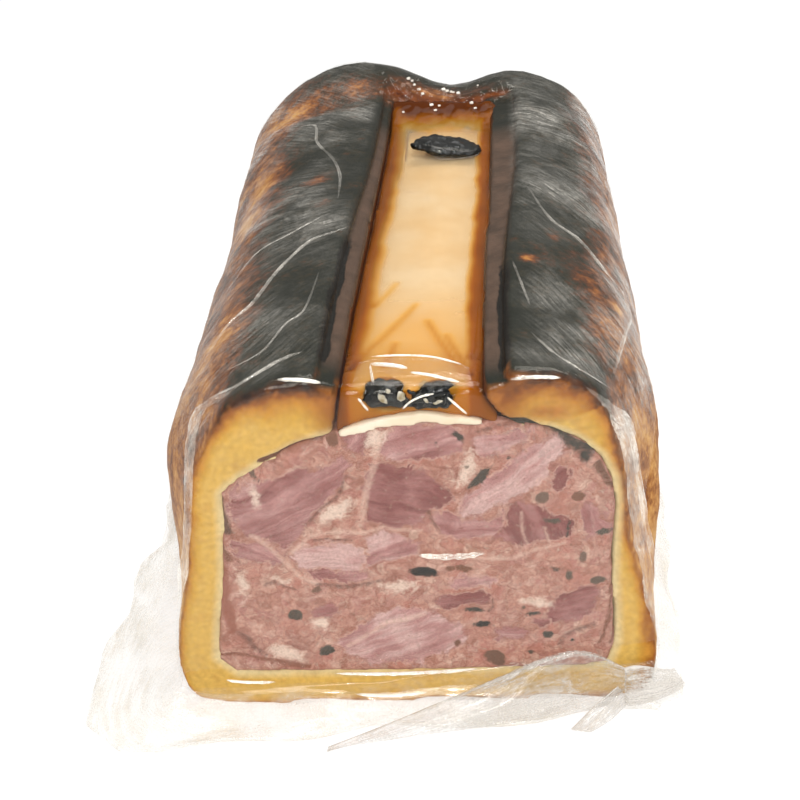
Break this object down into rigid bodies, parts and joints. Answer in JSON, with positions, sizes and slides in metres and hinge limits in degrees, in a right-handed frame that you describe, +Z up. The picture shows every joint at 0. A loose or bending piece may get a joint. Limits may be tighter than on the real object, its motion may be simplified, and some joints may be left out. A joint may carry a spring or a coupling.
{
  "type": "pate en croute",
  "caption": "Cut half loaf of pate en croute: baked crust round a chunky meat filling, a groove of amber jelly over fat along its top, sealed in a clear film pouch.",
  "frame": {"origin": "on the table, under the middle of the whole pack's box", "axes": "+Z up; +Y runs along the loaf from the cut face to the baked end; +X is to the right seen from the cut"},
  "size_m": [0.1272, 0.2106, 0.0811],
  "materials": {
    "crust": "baked pastry, nearly black on top, golden brown on the sides and yellow where cut",
    "filling": "moist pressed ham and forcemeat",
    "fat": "pale barding fat",
    "jelly": "clear amber aspic",
    "mushroom": "wet black mushroom",
    "film": "clear thin vacuum film"
  },
  "bodies": {
    "root": {"crust": "crust", "filling": "filling", "barding_fat": "fat", "jelly": "jelly", "mushroom_front_left": "mushroom", "mushroom_front_right": "mushroom", "mushroom_back": "mushroom", "pouch_film": "film"}
  },
  "joints": []
}
